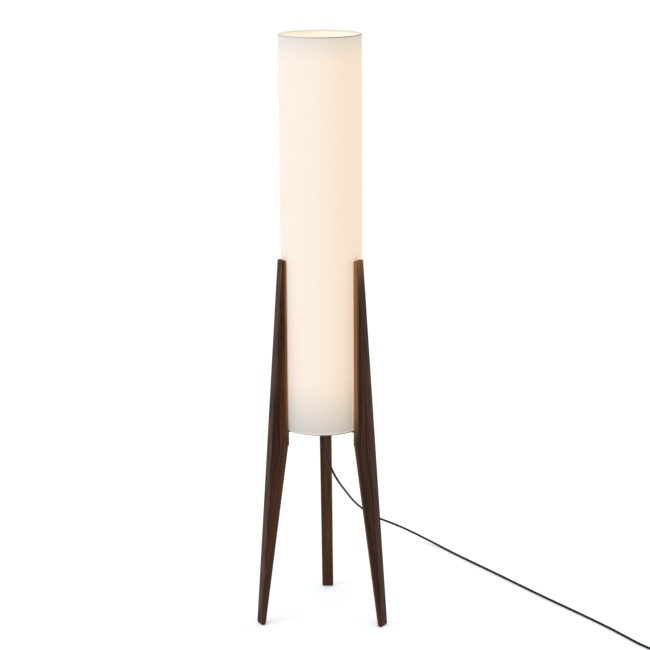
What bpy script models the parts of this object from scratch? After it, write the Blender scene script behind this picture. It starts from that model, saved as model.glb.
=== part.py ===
"""Tripod floor lamp: a tall round shade between three tapered walnut legs, with its light fittings and cord.

Units are metres, +Z is up and the floor is z = 0. Every piece is placed from the lamp's upright axis, which
stands a little in front of the origin, so that the tripod's bounding box is centred on the origin. One leg
points back (+Y) and two point forward and sideways. Run it with: blender --background --python part.py
"""

import math

import bmesh
import bpy
import numpy as np
from mathutils import Vector

# Room between two pieces that touch, and between the cord and the floor.
GAP = 0.0003
FLOOR_GAP = 0.0002

# Overall sizes.
SHADE_RADIUS = 0.100
SHADE_BOTTOM = 0.500
SHADE_HEIGHT = 0.970
LEG_HEIGHT = 0.930
LEG_REACH = 0.182
LEG_WIDTH = 0.0285
LEG_TOP_DEPTH = 0.0105
LEG_FOOT_DEPTH = 0.0115
LEG_EDGE_RADIUS = 0.0015
LEG_ANGLES = {"left": 210.0, "right": 330.0, "back": 90.0}
SHADE_CLEARANCE = 0.002

# Feet.
PAD_THICKNESS = 0.002
PAD_INSET = 0.0015

# Shade: woven fabric with a turned hem on a stiff liner, held round by two wire rings.
FABRIC_WALL = 0.0006
HEM_RISE = 0.0004
HEM_HEIGHT = 0.0055
LINER_WALL = 0.0005
RING_WIRE = 0.0032
SHADE_SIDES = 96

# Carrier: a steel hub with three arms, each bent down against a leg.
ARM_WIDTH = 0.020
ARM_THICKNESS = 0.004
HUB_RADIUS = 0.027
HUB_PROUD = 0.001
TAB_DROP = 0.035
LUG_HEIGHT = 0.007
LUG_WIDTH = 0.008
LUG_THICKNESS = 0.002
LUG_PLAY = 0.0008
CARRIER_EDGE = 0.0006

# Pan-head screws from the carrier's tabs into the legs.
SCREW_SHANK = 0.0034
SCREW_LENGTH = 0.016
SCREW_HEAD = 0.0076
SCREW_HEAD_HEIGHT = 0.0024
SCREW_DRIVE = 0.0030
SCREW_END_MARGIN = 0.009

# Threaded lamp pipe, with its nuts and washers. Its rise is above the shade's bottom edge.
PIPE_OUTER = 0.010
PIPE_INNER = 0.0076
STEM_RISE = 0.610
NUT_FLATS = 0.014
NUT_HEIGHT = 0.0035
WASHER_RADIUS = 0.011
WASHER_THICKNESS = 0.0015

# Side plate, which holds the lower lampholder beside the stem, so that its bulb clears the pipe.
PLATE_RISE = 0.120
BULB_CLEARANCE = 0.005
PLATE_WIDTH = 0.020
PLATE_THICKNESS = 0.002
NIPPLE_GRIP = 0.008

# Lampholders, measured up from their own base, and the bulbs in them.
HOLDER_NECK_RADIUS = 0.0085
HOLDER_NECK_HEIGHT = 0.0072
HOLDER_SHOULDER = 0.0144
HOLDER_CAP_HEIGHT = 0.024
HOLDER_SHELL_HEIGHT = 0.036
HOLDER_WALL = 0.0042
HOLDER_RIM = 0.0015
HOLDER_CAP_WALL = 0.0015
SLEEVE_WALL = 0.001
HOLDER_SLEEVE_HEIGHT = 0.026
CONTACT_RADIUS = 0.005
CONTACT_HEIGHT = 0.003
CONTACT_HOLE_RADIUS = 0.003
BULB_CAP_RADIUS = 0.0133
BULB_CAP_PLAY = 0.0007
BULB_CAP_HEIGHT = 0.026
BULB_CAP_WALL = 0.001
BULB_THREAD_RISE = 0.0052
BULB_THREAD_DEPTH = 0.0008
BULB_THREAD_TURNS = 6
BULB_RADIUS = 0.030
BULB_LENGTH = 0.081
BULB_WALL = 0.001
BULB_NECK_HEIGHT = 0.0097

# Cord grip under the hub, and the wires above it.
GRIP_RADIUS = 0.009
GRIP_STRAIGHT = 0.008
GRIP_LENGTH = 0.020
GRIP_MOUTH_WALL = 0.0018
GRIP_BORE_DEPTH = 0.009
SET_SCREW_DIAMETER = 0.0028
WIRE_STRIPPED = 0.0003
SIDE_WIRE_DIAMETER = 0.0036
SIDE_WIRE_BEND = 0.030
SIDE_WIRE_MARGIN = 0.004

# Free cord. The route starts at the grip, drops to the floor behind the lamp and runs off forward and right.
CORD_DIAMETER = 0.0058
CORD_LIE = CORD_DIAMETER / 2 + FLOOR_GAP
CORD_STRAIGHT = 0.010
CORD_STUB = 0.004
CORD_ROUTE = [
    (0.002, 0.007, 0.448), (0.005, 0.018, 0.431), (0.007, 0.030, 0.413), (0.010, 0.043, 0.395),
    (0.014, 0.057, 0.375), (0.020, 0.072, 0.353), (0.027, 0.092, 0.330), (0.034, 0.122, 0.306),
    (0.040, 0.162, 0.283), (0.044, 0.201, 0.262), (0.047, 0.240, 0.240), (0.051, 0.280, 0.218),
    (0.056, 0.318, 0.195), (0.063, 0.356, 0.172), (0.072, 0.394, 0.149), (0.083, 0.431, 0.125),
    (0.098, 0.466, 0.100), (0.119, 0.498, 0.077), (0.150, 0.521, 0.056), (0.189, 0.529, 0.037),
    (0.231, 0.520, 0.020), (0.268, 0.498, 0.009), (0.300, 0.466, 0.004), (0.327, 0.430, CORD_LIE),
    (0.375, 0.366, CORD_LIE), (0.427, 0.297, CORD_LIE), (0.481, 0.225, CORD_LIE),
    (0.571, 0.105, CORD_LIE), (0.661, -0.015, CORD_LIE), (0.751, -0.135, CORD_LIE),
    (0.811, -0.215, CORD_LIE),
]
CORD_POINTS = 110
LINK_POINTS = 6

# Past the route's last place the cord turns left once. Its stored end lies straight back from the end of that
# turn, along one unit direction on the floor and to the side in the other.
TURN_START = Vector((0.811, -0.215, 0.0))
TURN_LEFT = Vector((0.8, 0.6, 0.0))
TURN_RADIUS = 0.035
TURN_STEPS = 5
STORE_ALONG = Vector((0.0, 1.0, 0.0))
STORE_SIDE = Vector((1.0, 0.0, 0.0))
LEAD_RISE_AT = 0.030
LEAD_RISE_HEIGHT = 0.0047
SWITCH_AT = 0.095
COIL_AT = 0.185
COIL_TURN_OUTER = 0.0375
COIL_TURN_INNER = 0.0315
COIL_LAYERS = 2
PLUG_AT = 0.130

# Foot switch, on the cord.
SWITCH_LENGTH = 0.070
SWITCH_WIDTH = 0.030
SWITCH_SPLIT = 0.0085
SWITCH_TOP = 0.019
SWITCH_WALL = 0.0018
SWITCH_FOOT = 0.0003
BUTTON_RADIUS = 0.0075
BUTTON_FLANGE = 0.0015
BUTTON_PLAY = 0.0005
BUTTON_PROUD = 0.0035
BUTTON_TRAVEL = 0.003
BLOCK_LENGTH = 0.0365
BLOCK_WIDTH = 0.0185

# Two-pin plug.
PLUG_LENGTH = 0.034
PLUG_WIDTH = 0.033
PLUG_HEIGHT = 0.0135
PLUG_TAPER = 0.0153
PLUG_EDGE = 0.002
PIN_SPACING = 0.019
PIN_DIAMETER = 0.004
PIN_LENGTH = 0.019

# Heights and radii that follow from the sizes above.
LEG_INNER = SHADE_RADIUS + SHADE_CLEARANCE
LEG_FOOT = PAD_THICKNESS + GAP
ARM_TOP = SHADE_BOTTOM - GAP
ARM_BOTTOM = ARM_TOP - ARM_THICKNESS
TAB_OUTER = LEG_INNER - GAP
TAB_INNER = TAB_OUTER - ARM_THICKNESS
TAB_BOTTOM = ARM_BOTTOM - TAB_DROP
KNEE_HEIGHT = TAB_BOTTOM + GAP
STEM_TOP = SHADE_BOTTOM + STEM_RISE
PLATE_HEIGHT = SHADE_BOTTOM + PLATE_RISE
PLATE_OFFSET = BULB_RADIUS + PIPE_OUTER / 2 + BULB_CLEARANCE
SLEEVE_INNER = BULB_CAP_RADIUS + BULB_CAP_PLAY
SLEEVE_OUTER = SLEEVE_INNER + SLEEVE_WALL
HOLDER_RADIUS = SLEEVE_OUTER + GAP + HOLDER_WALL
HUB_TOP = ARM_TOP + HUB_PROUD
HUB_BOTTOM = ARM_BOTTOM - HUB_PROUD
SHADE_TOP = SHADE_BOTTOM + SHADE_HEIGHT
LINER_OUTER = SHADE_RADIUS - FABRIC_WALL - GAP
LINER_INNER = LINER_OUTER - LINER_WALL
RING_RADIUS = LINER_INNER - GAP - RING_WIRE / 2
LUG_OUTER = RING_RADIUS - RING_WIRE / 2 - LUG_PLAY
PIPE_HOLE = PIPE_OUTER / 2 + GAP
SCREW_HOLE = SCREW_SHANK / 2 + GAP
GRIP_TOP = HUB_BOTTOM - WASHER_THICKNESS - NUT_HEIGHT - 3 * GAP
GRIP_BOTTOM = GRIP_TOP - GRIP_LENGTH
STEM_BOTTOM = GRIP_TOP - GRIP_BORE_DEPTH + GAP
UPPER_HOLDER_BASE = STEM_TOP - NIPPLE_GRIP
LOWER_HOLDER_BASE = PLATE_HEIGHT + PLATE_THICKNESS / 2 + GAP
CORD_EXIT = GRIP_BOTTOM - GAP
WIRE_DIAMETER = CORD_DIAMETER - WIRE_STRIPPED
TURN_CENTRE = TURN_START + TURN_RADIUS * TURN_LEFT
TURN_FROM = math.degrees(math.atan2(-TURN_LEFT.y, -TURN_LEFT.x))
STORE_START = TURN_CENTRE + TURN_RADIUS * STORE_SIDE
COIL_OUTER = COIL_TURN_OUTER + CORD_DIAMETER / 2
COIL_INNER = COIL_TURN_INNER - CORD_DIAMETER / 2
# A straight tube that meets the coil along its outer turn stops here, short of the turn's tangent point.
COIL_MEETS = math.sqrt((COIL_OUTER + 2 * GAP) ** 2 - (COIL_TURN_OUTER - CORD_DIAMETER / 2) ** 2)


def axis_offset():
    """How far the lamp's axis stands in front of the origin: half the tripod's overhang to the back."""
    corner = LEG_REACH - LEG_EDGE_RADIUS
    half_width = LEG_WIDTH / 2 - LEG_EDGE_RADIUS
    front = corner * math.sin(math.radians(30)) + half_width * math.cos(math.radians(30)) + LEG_EDGE_RADIUS
    return (LEG_REACH - front) / 2


# ---- scene, materials and shared shapes ----

for leftover in list(bpy.data.objects):
    bpy.data.objects.remove(leftover)

collection = bpy.context.scene.collection


def empty(name, location, parent=None, turn=0.0):
    holder = bpy.data.objects.new(name, None)
    holder.location = location
    holder.rotation_euler = (0.0, 0.0, turn)
    holder.parent = parent
    collection.objects.link(holder)
    return holder


def material(name, colour, roughness, metallic=0.0, alpha=1.0):
    made = bpy.data.materials.new(name)
    made.use_nodes = True
    shader = made.node_tree.nodes["Principled BSDF"]
    shader.inputs["Base Color"].default_value = (*colour, 1.0)
    shader.inputs["Roughness"].default_value = roughness
    shader.inputs["Metallic"].default_value = metallic
    shader.inputs["Alpha"].default_value = alpha
    made.diffuse_color = (*colour, alpha)
    return made


walnut = material("walnut", (0.085, 0.038, 0.022), 0.42)
felt = material("felt", (0.05, 0.04, 0.035), 0.95)
black_steel = material("black_steel", (0.02, 0.02, 0.021), 0.45, 0.6)
zinc = material("zinc", (0.62, 0.63, 0.65), 0.35, 1.0)
brass = material("brass", (0.80, 0.62, 0.30), 0.30, 1.0)
linen = material("linen", (0.86, 0.80, 0.68), 0.9)
liner_white = material("liner_white", (0.90, 0.88, 0.82), 0.5)
ring_white = material("ring_white", (0.85, 0.85, 0.83), 0.4, 0.3)
phenolic = material("phenolic", (0.025, 0.024, 0.023), 0.35)
black_nylon = material("black_nylon", (0.02, 0.02, 0.02), 0.5)
black_pvc = material("black_pvc", (0.015, 0.015, 0.016), 0.45)
wire_white = material("wire_white", (0.80, 0.80, 0.78), 0.5)
opal_glass = material("opal_glass", (0.95, 0.93, 0.88), 0.25)


def add(name, mesh, finish, parent, location=(0, 0, 0), rotation=(0, 0, 0)):
    """An object of this mesh or curve, named for its node."""
    piece = bpy.data.objects.new(name, mesh)
    piece.location = location
    piece.rotation_euler = rotation
    piece.parent = parent
    if finish:
        mesh.materials.append(finish)
    collection.objects.link(piece)
    return piece


def finished(shape, name):
    """A mesh from this bmesh, with its faces facing out."""
    bmesh.ops.recalc_face_normals(shape, faces=shape.faces)
    mesh = bpy.data.meshes.new(name)
    shape.to_mesh(mesh)
    shape.free()
    return mesh


def turned(name, profile, sides=32):
    """A closed profile of (radius, height) spun round the Z axis. A point at radius 0 lies on the axis."""
    shape = bmesh.new()
    points = [shape.verts.new((radius, 0.0, height)) for radius, height in profile]
    edges = [shape.edges.new(pair) for pair in zip(points, points[1:])]
    if profile[0][0] or profile[-1][0]:
        edges.append(shape.edges.new((points[-1], points[0])))
    bmesh.ops.spin(
        shape, geom=points + edges, cent=(0, 0, 0), axis=(0, 0, 1), angle=2 * math.pi, steps=sides
    )
    bmesh.ops.remove_doubles(shape, verts=shape.verts, dist=1e-6)
    return finished(shape, name)


def prism(name, outline, low, high, upright="Z"):
    """An outline extruded from low to high: (x, y) along Z, or (x, z) along Y where upright is "Y"."""
    shape = bmesh.new()
    if upright == "Z":
        points = [(a, b, low) for a, b in outline]
        push = (0, 0, high - low)
    else:
        points = [(a, low, b) for a, b in outline]
        push = (0, high - low, 0)
    face = shape.faces.new([shape.verts.new(point) for point in points])
    grown = bmesh.ops.extrude_face_region(shape, geom=[face])
    moved = [item for item in grown["geom"] if isinstance(item, bmesh.types.BMVert)]
    bmesh.ops.translate(shape, vec=push, verts=moved)
    return finished(shape, name)


def tube(name, points, diameter, finish, parent, sides_step=2):
    """A round solid along these points, with flat closed ends."""
    curve = bpy.data.curves.new(name, "CURVE")
    curve.dimensions = "3D"
    curve.bevel_depth = diameter / 2
    curve.bevel_resolution = sides_step
    curve.use_fill_caps = True
    spline = curve.splines.new("POLY")
    spline.points.add(len(points) - 1)
    for slot, point in zip(spline.points, points):
        slot.co = (*point, 1.0)
    return add(name, curve, finish, parent)


def rounded(piece, width, segments=2):
    bevel = piece.modifiers.new("rounded", "BEVEL")
    bevel.width = width
    bevel.segments = segments
    bevel.limit_method = "ANGLE"
    bevel.angle_limit = math.radians(30)
    return piece


def combine(piece, other, operation):
    """A Boolean on this piece. The other object stays in the scene as a hidden helper."""
    other.hide_render = True
    other.display_type = "WIRE"
    boolean = piece.modifiers.new(other.name, "BOOLEAN")
    boolean.operation = operation
    boolean.object = other
    return piece


def round_cutter(name, radius, low, high, parent, location=(0, 0, 0), rotation=(0, 0, 0), sides=24):
    mesh = turned(name, [(0, low), (radius, low), (radius, high), (0, high)], sides)
    return add(name, mesh, None, parent, location, rotation)


def arc(radius, centre, start, end, steps):
    """Points of (x, y) round a centre, from one angle to another in degrees."""
    return [
        (
            centre[0] + radius * math.cos(math.radians(start + (end - start) * step / steps)),
            centre[1] + radius * math.sin(math.radians(start + (end - start) * step / steps)),
        )
        for step in range(steps + 1)
    ]


def stadium(length, width, steps=8):
    """A bar with round ends, centred on the origin and lying along X."""
    reach = (length - width) / 2
    right = arc(width / 2, (reach, 0), -90, 90, steps)
    left = arc(width / 2, (-reach, 0), 90, 270, steps)
    return right + left


def smooth_route(route, count, set_off=None, arrive=None):
    """Evenly spaced points on a cubic spline through the route, with its end directions if given."""
    knots = np.array(route, float)
    steps = np.linalg.norm(np.diff(knots, axis=0), axis=1)
    at = np.concatenate([[0.0], np.cumsum(steps)])
    size = len(at)
    slopes = np.diff(knots, axis=0) / steps[:, None]
    system = np.eye(size)
    right = np.zeros((size, 3))
    for i in range(1, size - 1):
        system[i, i - 1 : i + 2] = steps[i - 1], 2 * (steps[i - 1] + steps[i]), steps[i]
        right[i] = 6 * (slopes[i] - slopes[i - 1])
    if set_off is not None:
        system[0, :2] = 2 * steps[0], steps[0]
        right[0] = 6 * (slopes[0] - np.array(set_off))
    if arrive is not None:
        system[-1, -2:] = steps[-1], 2 * steps[-1]
        right[-1] = 6 * (np.array(arrive) - slopes[-1])
    bend = np.linalg.solve(system, right)
    fine = []
    for place in np.linspace(0.0, at[-1], count):
        i = min(int(np.searchsorted(at, place, side="right")) - 1, size - 2)
        ahead = (place - at[i]) / steps[i]
        behind = 1 - ahead
        bow = (behind**3 - behind) * bend[i] + (ahead**3 - ahead) * bend[i + 1]
        fine.append(behind * knots[i] + ahead * knots[i + 1] + bow * steps[i] ** 2 / 6)
    return [tuple(point) for point in fine]


lamp = empty("lamp_axis", (0.0, -axis_offset(), 0.0))


# ---- legs and feet ----


def make_leg(side, angle):
    """A walnut leg: upright inside down to the knee, one straight taper outside."""
    holder = empty(f"{side}_leg_line", (0, 0, 0), lamp, math.radians(angle))
    outline = [
        (LEG_REACH - LEG_FOOT_DEPTH, LEG_FOOT),
        (LEG_REACH, LEG_FOOT),
        (LEG_INNER + LEG_TOP_DEPTH, LEG_HEIGHT),
        (LEG_INNER, LEG_HEIGHT),
        (LEG_INNER, KNEE_HEIGHT),
    ]
    name = f"leg_{side}"
    mesh = prism(name, outline, -LEG_WIDTH / 2, LEG_WIDTH / 2, upright="Y")
    leg = add(name, mesh, walnut, holder)
    rounded(leg, LEG_EDGE_RADIUS)
    pad_size = (LEG_FOOT_DEPTH - 2 * PAD_INSET, LEG_WIDTH - 2 * PAD_INSET)
    corners = [(-1, -1), (1, -1), (1, 1), (-1, 1)]
    pad_outline = [(x * pad_size[0] / 2, y * pad_size[1] / 2) for x, y in corners]
    pad_mesh = prism(f"foot_pad_{side}", pad_outline, 0.0, PAD_THICKNESS)
    add(f"foot_pad_{side}", pad_mesh, felt, holder, (LEG_REACH - LEG_FOOT_DEPTH / 2, 0, 0))
    return leg, holder


def screw_mesh(name):
    """A pan-head screw along Z, its head's seat at z = 0 and its point up, with a hexagonal drive."""
    head = SCREW_HEAD / 2
    shank = SCREW_SHANK / 2
    profile = [
        (0.0, -SCREW_HEAD_HEIGHT),
        (head * 0.62, -SCREW_HEAD_HEIGHT),
        (head * 0.9, -SCREW_HEAD_HEIGHT * 0.7),
        (head, -SCREW_HEAD_HEIGHT * 0.25),
        (head, 0.0),
        (shank, 0.0),
        (shank, SCREW_LENGTH - SCREW_SHANK),
        (0.0, SCREW_LENGTH),
    ]
    return turned(name, profile, sides=18)


def add_leg_screws(side, leg, holder):
    """Two screws, one over the other, with their holes in the leg."""
    heights = {
        "upper": ARM_BOTTOM - SCREW_END_MARGIN,
        "lower": TAB_BOTTOM + SCREW_END_MARGIN,
    }
    outward = (0, math.pi / 2, 0)
    for place, height in heights.items():
        name = f"leg_screw_{side}_{place}"
        seat = TAB_INNER - GAP
        screw = add(name, screw_mesh(name), black_steel, holder, (seat, 0, height), outward)
        drive = round_cutter(
            f"{name}_drive", SCREW_DRIVE / 2, -2 * SCREW_HEAD_HEIGHT, -SCREW_HEAD_HEIGHT / 2,
            holder, (seat, 0, height), outward, sides=6,
        )
        combine(screw, drive, "DIFFERENCE")
        hole = round_cutter(
            f"{name}_hole", SCREW_HOLE, -2 * ARM_THICKNESS, SCREW_LENGTH + 2 * GAP,
            holder, (seat, 0, height), outward,
        )
        combine(leg, hole, "DIFFERENCE")
        combine(carrier, hole, "DIFFERENCE")


# ---- carrier ----


def make_carrier():
    """A steel hub with three arms under the shade, each bent down at its end, with a lug for the ring."""
    hub_profile = [(0, HUB_BOTTOM), (HUB_RADIUS, HUB_BOTTOM), (HUB_RADIUS, HUB_TOP), (0, HUB_TOP)]
    hub = add("carrier", turned("carrier", hub_profile, 48), black_steel, lamp)
    arm_outline = [
        (HUB_RADIUS / 2, ARM_BOTTOM),
        (TAB_INNER, ARM_BOTTOM),
        (TAB_INNER, TAB_BOTTOM),
        (TAB_OUTER, TAB_BOTTOM),
        (TAB_OUTER, ARM_TOP),
        (HUB_RADIUS / 2, ARM_TOP),
    ]
    lug_outline = [
        (LUG_OUTER - LUG_THICKNESS, ARM_BOTTOM + ARM_THICKNESS / 2),
        (LUG_OUTER, ARM_BOTTOM + ARM_THICKNESS / 2),
        (LUG_OUTER, ARM_TOP + LUG_HEIGHT),
        (LUG_OUTER - LUG_THICKNESS, ARM_TOP + LUG_HEIGHT),
    ]
    for side, angle in LEG_ANGLES.items():
        turn = (0, 0, math.radians(angle))
        arm_mesh = prism(f"arm_{side}", arm_outline, -ARM_WIDTH / 2, ARM_WIDTH / 2, upright="Y")
        arm = rounded(add(f"arm_{side}", arm_mesh, None, lamp, rotation=turn), CARRIER_EDGE, 1)
        combine(hub, arm, "UNION")
        lug_mesh = prism(f"lug_{side}", lug_outline, -LUG_WIDTH / 2, LUG_WIDTH / 2, upright="Y")
        combine(hub, add(f"lug_{side}", lug_mesh, None, lamp, rotation=turn), "UNION")
    bore = round_cutter("carrier_bore", PIPE_HOLE, HUB_BOTTOM - HUB_PROUD, HUB_TOP + HUB_PROUD, lamp)
    return combine(hub, bore, "DIFFERENCE")


carrier = make_carrier()
for leg_side, leg_angle in LEG_ANGLES.items():
    new_leg, leg_line = make_leg(leg_side, leg_angle)
    add_leg_screws(leg_side, new_leg, leg_line)


# ---- stem, nuts, washers and side plate ----


def make_pipe(name, low, high, parent, location=(0, 0, 0)):
    inner, outer = PIPE_INNER / 2, PIPE_OUTER / 2
    mesh = turned(name, [(inner, low), (outer, low), (outer, high), (inner, high)], 32)
    return add(name, mesh, zinc, parent, location)


def make_washer(name, low):
    high = low + WASHER_THICKNESS
    profile = [(PIPE_HOLE, low), (WASHER_RADIUS, low), (WASHER_RADIUS, high), (PIPE_HOLE, high)]
    return add(name, turned(name, profile, 32), zinc, lamp)


def make_nut(name, low, location=(0, 0, 0)):
    """A hexagon nut round the pipe."""
    corner = NUT_FLATS / math.sqrt(3)
    nut_mesh = prism(name, arc(corner, (0, 0), 0, 300, 5), low, low + NUT_HEIGHT)
    nut = add(name, nut_mesh, zinc, lamp, location)
    bore = round_cutter(f"{name}_bore", PIPE_HOLE, low - NUT_HEIGHT, low + 2 * NUT_HEIGHT, lamp, location)
    return combine(nut, bore, "DIFFERENCE")


stem = make_pipe("stem", STEM_BOTTOM, STEM_TOP, lamp)
make_washer("hub_washer_upper", HUB_TOP + GAP)
make_nut("hub_nut_upper", HUB_TOP + WASHER_THICKNESS + 2 * GAP)
make_washer("hub_washer_lower", HUB_BOTTOM - GAP - WASHER_THICKNESS)
make_nut("hub_nut_lower", HUB_BOTTOM - WASHER_THICKNESS - 2 * GAP - NUT_HEIGHT)

plate_low = PLATE_HEIGHT - PLATE_THICKNESS / 2
plate_high = PLATE_HEIGHT + PLATE_THICKNESS / 2
plate_mesh = prism("side_plate", stadium(PLATE_OFFSET + PLATE_WIDTH, PLATE_WIDTH), plate_low, plate_high)
side_plate = add("side_plate", plate_mesh, black_steel, lamp, (0, PLATE_OFFSET / 2, 0), (0, 0, math.pi / 2))
for hole_name, hole_y in (("plate_stem_hole", 0.0), ("plate_nipple_hole", PLATE_OFFSET)):
    plate_hole = round_cutter(
        hole_name, PIPE_HOLE, plate_low - PLATE_THICKNESS, plate_high + PLATE_THICKNESS, lamp, (0, hole_y, 0)
    )
    combine(side_plate, plate_hole, "DIFFERENCE")
make_nut("plate_nut_upper", plate_high + GAP)
make_nut("plate_nut_lower", plate_low - GAP - NUT_HEIGHT)
beside = (0, PLATE_OFFSET, 0)
make_nut("nipple_nut", plate_low - GAP - NUT_HEIGHT, beside)
make_pipe("nipple", plate_low - 2 * GAP - NUT_HEIGHT, LOWER_HOLDER_BASE + NIPPLE_GRIP, lamp, beside)


# ---- lampholders and bulbs ----


def make_holder(place, base, location):
    """A lampholder round Z: a cap on the pipe, a shell over it, and the shell's contact and screw sleeve."""
    neck = HOLDER_NECK_RADIUS
    shoulder = base + HOLDER_SHOULDER
    inside = HOLDER_RADIUS - HOLDER_CAP_WALL
    cap_profile = [
        (PIPE_HOLE, base),
        (neck, base),
        (neck, base + HOLDER_NECK_HEIGHT),
        (HOLDER_RADIUS, shoulder),
        (HOLDER_RADIUS, base + HOLDER_CAP_HEIGHT),
        (inside, base + HOLDER_CAP_HEIGHT),
        (inside, shoulder + HOLDER_CAP_WALL),
        (PIPE_HOLE, base + NIPPLE_GRIP + 4 * GAP),
    ]
    name = f"holder_{place}_cap"
    add(name, turned(name, cap_profile), phenolic, lamp, location)

    shell_low = base + HOLDER_CAP_HEIGHT + GAP
    shell_top = shell_low + HOLDER_SHELL_HEIGHT
    floor = shell_low + HOLDER_WALL
    bore = HOLDER_RADIUS - HOLDER_WALL
    rim = HOLDER_RADIUS - HOLDER_RIM
    shell_profile = [
        (CONTACT_HOLE_RADIUS, shell_low),
        (HOLDER_RADIUS, shell_low),
        (HOLDER_RADIUS, shell_top - HOLDER_RIM),
        (rim, shell_top),
        (bore, shell_top),
        (bore, floor),
        (CONTACT_HOLE_RADIUS, floor),
    ]
    name = f"holder_{place}_shell"
    add(name, turned(name, shell_profile), phenolic, lamp, location)

    seat = floor + GAP
    contact_profile = [
        (0, seat),
        (CONTACT_RADIUS, seat),
        (CONTACT_RADIUS, seat + CONTACT_HEIGHT / 2),
        (CONTACT_HOLE_RADIUS, seat + CONTACT_HEIGHT),
        (0, seat + CONTACT_HEIGHT),
    ]
    name = f"holder_{place}_contact"
    add(name, turned(name, contact_profile, 20), brass, lamp, location)

    sleeve_profile = [
        (SLEEVE_INNER, seat),
        (SLEEVE_OUTER, seat),
        (SLEEVE_OUTER, seat + HOLDER_SLEEVE_HEIGHT),
        (SLEEVE_INNER, seat + HOLDER_SLEEVE_HEIGHT),
    ]
    name = f"holder_{place}_sleeve"
    add(name, turned(name, sleeve_profile), brass, lamp, location)
    return seat + CONTACT_HEIGHT + GAP


def thread(radius, depth, low, high, turns):
    """A round thread's outline: crests and roots in turn, from low to high."""
    step = (high - low) / (2 * turns)
    return [(radius - depth * (i % 2), low + i * step) for i in range(2 * turns + 1)]


def make_bulb(place, tip, location):
    """A hollow screw cap, and the opal envelope that it holds. The tip touches the holder's contact."""
    body = tip + BULB_THREAD_RISE
    top = tip + BULB_CAP_HEIGHT
    cap_bore = BULB_CAP_RADIUS - BULB_THREAD_DEPTH - BULB_CAP_WALL
    cap_profile = [
        (0, tip),
        (CONTACT_HOLE_RADIUS, tip),
        (CONTACT_RADIUS, tip + CONTACT_HEIGHT / 2),
        *thread(BULB_CAP_RADIUS, BULB_THREAD_DEPTH, body, top, BULB_THREAD_TURNS),
        (cap_bore, top),
        (cap_bore, body),
        (0, body),
    ]
    name = f"bulb_{place}_cap"
    add(name, turned(name, cap_profile, 28), zinc, lamp, location)

    seat = top + GAP
    centre = seat + BULB_LENGTH - BULB_RADIUS
    neck = BULB_CAP_RADIUS
    dome = arc(BULB_RADIUS, (0, centre), -35, 90, 9)
    inner_dome = arc(BULB_RADIUS - BULB_WALL, (0, centre), 90, -35, 9)
    neck_top = seat + BULB_NECK_HEIGHT
    outer = [(neck, seat), (neck, neck_top), *dome]
    inner = [*inner_dome, (neck - BULB_WALL, neck_top), (neck - BULB_WALL, seat)]
    profile = [(max(radius, 0.0), height) for radius, height in outer + inner]
    name = f"bulb_{place}_envelope"
    add(name, bulb_mesh(name, profile, len(outer)), opal_glass, lamp, location)


def bulb_mesh(name, profile, outer_count):
    """An open-bottomed envelope: its outer and inner walls end on the axis, joined by a ring at the seat."""
    shape = bmesh.new()
    points = [shape.verts.new((radius, 0.0, height)) for radius, height in profile]
    pairs = list(zip(points, points[1:])) + [(points[-1], points[0])]
    edges = [shape.edges.new(pair) for i, pair in enumerate(pairs) if i != outer_count - 1]
    bmesh.ops.spin(shape, geom=points + edges, cent=(0, 0, 0), axis=(0, 0, 1), angle=2 * math.pi, steps=28)
    bmesh.ops.remove_doubles(shape, verts=shape.verts, dist=1e-6)
    return finished(shape, name)


upper_tip = make_holder("upper", UPPER_HOLDER_BASE, (0, 0, 0))
make_bulb("upper", upper_tip, (0, 0, 0))
lower_tip = make_holder("lower", LOWER_HOLDER_BASE, beside)
make_bulb("lower", lower_tip, beside)


# ---- cord grip and fixed wires ----

grip_floor = GRIP_TOP - GRIP_BORE_DEPTH
cord_hole = CORD_DIAMETER / 2 + GAP
grip_profile = [
    (cord_hole, GRIP_BOTTOM),
    (cord_hole + GRIP_MOUTH_WALL, GRIP_BOTTOM),
    (GRIP_RADIUS, GRIP_TOP - GRIP_STRAIGHT),
    (GRIP_RADIUS, GRIP_TOP),
    (PIPE_HOLE, GRIP_TOP),
    (PIPE_HOLE, grip_floor),
    (cord_hole, grip_floor),
]
grip = add("cord_grip", turned("cord_grip", grip_profile), black_nylon, lamp)
set_height = GRIP_TOP - GRIP_STRAIGHT / 2
forward = (math.pi / 2, 0, 0)
set_hole = round_cutter(
    "set_hole", SET_SCREW_DIAMETER / 2 + GAP, 0.0, 2 * GRIP_RADIUS, lamp, (0, 0, set_height), forward, 16
)
combine(grip, set_hole, "DIFFERENCE")
set_profile = [
    (0, PIPE_HOLE),
    (SET_SCREW_DIAMETER / 2, PIPE_HOLE),
    (SET_SCREW_DIAMETER / 2, GRIP_RADIUS + GAP),
    (0, GRIP_RADIUS + GAP),
]
add("grip_screw", turned("grip_screw", set_profile, 14), zinc, lamp, (0, 0, set_height), forward)

wire_profile = [
    (0, GRIP_BOTTOM),
    (WIRE_DIAMETER / 2, GRIP_BOTTOM),
    (WIRE_DIAMETER / 2, STEM_TOP + 4 * GAP),
    (0, STEM_TOP + 4 * GAP),
]
add("wire_upper", turned("wire_upper", wire_profile, 12), wire_white, lamp)

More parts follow.
